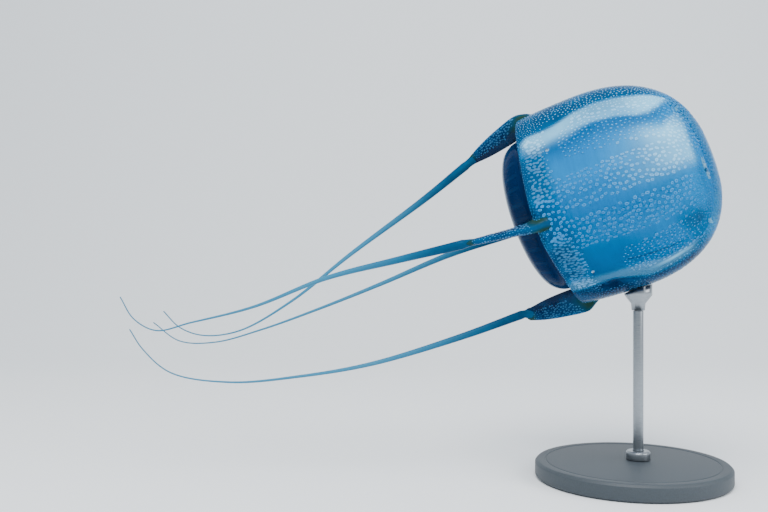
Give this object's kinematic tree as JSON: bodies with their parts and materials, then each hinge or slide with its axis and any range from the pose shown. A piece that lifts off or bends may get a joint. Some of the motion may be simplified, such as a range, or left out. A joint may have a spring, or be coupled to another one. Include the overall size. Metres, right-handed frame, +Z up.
{
  "type": "box jellyfish",
  "caption": "Life-size model of a warty box jellyfish, apex first, with corner blades and long trailing tentacles, on a disc and rod display stand.",
  "frame": {"origin": "centre of the stand base's underside, which rests on the floor", "axes": "+Z up, +X towards the bell's apex side, -Y the side that the bell's near corner faces; tentacles trail towards -X"},
  "size_m": [0.3613, 0.1363, 0.2287],
  "materials": {
    "bell": "wet, clear blue jelly with pale raised warts",
    "velarium": "smooth, clear dark blue membrane",
    "pedalium": "wet blue jelly, olive at both ends, warty keel",
    "tentacle": "wet teal jelly, finely ringed, paler towards the tip",
    "organ": "milky white",
    "stand_base": "fine slate grey powder coat",
    "stand_metal": "fine brushed stainless steel"
  },
  "bodies": {
    "root": {"bell_apex": "bell", "manubrium": "organ", "bell_corner_near": "bell", "pedalium_near": "pedalium", "phacella_near": "organ", "bell_corner_low": "bell", "pedalium_low": "pedalium", "phacella_low": "organ", "bell_corner_far": "bell", "pedalium_far": "pedalium", "phacella_far": "organ", "bell_corner_high": "bell", "pedalium_high": "pedalium", "phacella_high": "organ", "bell_side_near_low": "bell", "velarium_near_low": "velarium", "rhopalium_near_low": "organ", "bell_side_far_low": "bell", "velarium_far_low": "velarium", "rhopalium_far_low": "organ", "bell_side_far_high": "bell", "velarium_far_high": "velarium", "rhopalium_far_high": "organ", "bell_side_near_high": "bell", "velarium_near_high": "velarium", "rhopalium_near_high": "organ", "tentacle_near_1": "tentacle", "tentacle_near_2": "tentacle", "tentacle_near_3": "tentacle", "tentacle_low_1": "tentacle", "tentacle_low_2": "tentacle", "tentacle_low_3": "tentacle", "tentacle_far_1": "tentacle", "tentacle_far_2": "tentacle", "tentacle_far_3": "tentacle", "tentacle_high_1": "tentacle", "tentacle_high_2": "tentacle", "tentacle_high_3": "tentacle", "stand_base": "stand_base", "stand_rod": "stand_metal", "stand_collar": "stand_metal", "stand_cradle": "stand_metal"}
  },
  "joints": []
}
